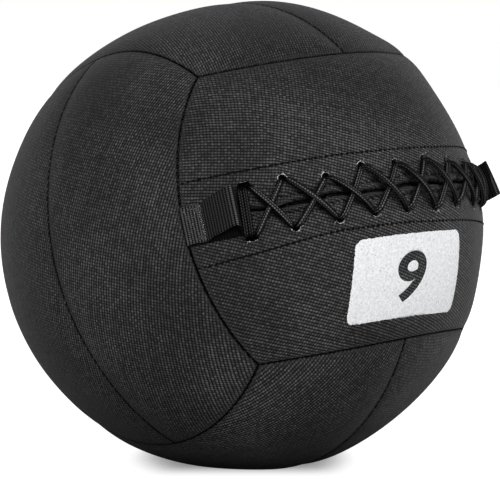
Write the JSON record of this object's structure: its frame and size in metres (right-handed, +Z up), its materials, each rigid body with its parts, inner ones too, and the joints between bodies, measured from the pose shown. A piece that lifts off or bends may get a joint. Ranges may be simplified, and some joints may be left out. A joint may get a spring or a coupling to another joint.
{
  "type": "wall ball",
  "caption": "Soft weighted ball of sewn panels with a laced slit, webbing tabs over both ends of the lacing and a dense core.",
  "frame": {"origin": "on the floor under the middle of the ball", "axes": "+Z up, +X to the right along the lacing as seen from the laced side, which faces -Y and is rolled back"},
  "size_m": [0.3462, 0.3498, 0.3369],
  "materials": {
    "cover": "matte woven-embossed vinyl",
    "webbing": "ribbed",
    "lace": "braided",
    "facing": "plain",
    "liner": "plain",
    "stuffing": "fibrous",
    "grit": "granular"
  },
  "bodies": {
    "root": {"front_upper_panel": "cover", "front_lower_panel": "cover", "back_upper_panel": "cover", "back_lower_panel": "cover", "left_front_panel": "cover", "left_rear_panel": "cover", "right_front_panel": "cover", "right_rear_panel": "cover", "top_left_panel": "cover", "top_right_panel": "cover", "bottom_left_panel": "cover", "bottom_right_panel": "cover", "upper_lace_facing": "facing", "lower_lace_facing": "facing", "lace": "lace", "left_tab": "webbing", "right_tab": "webbing", "inner_bag": "liner", "upper_stuffing": "stuffing", "lower_stuffing": "stuffing", "core_sack": "liner", "core_fill": "grit"}
  },
  "joints": []
}
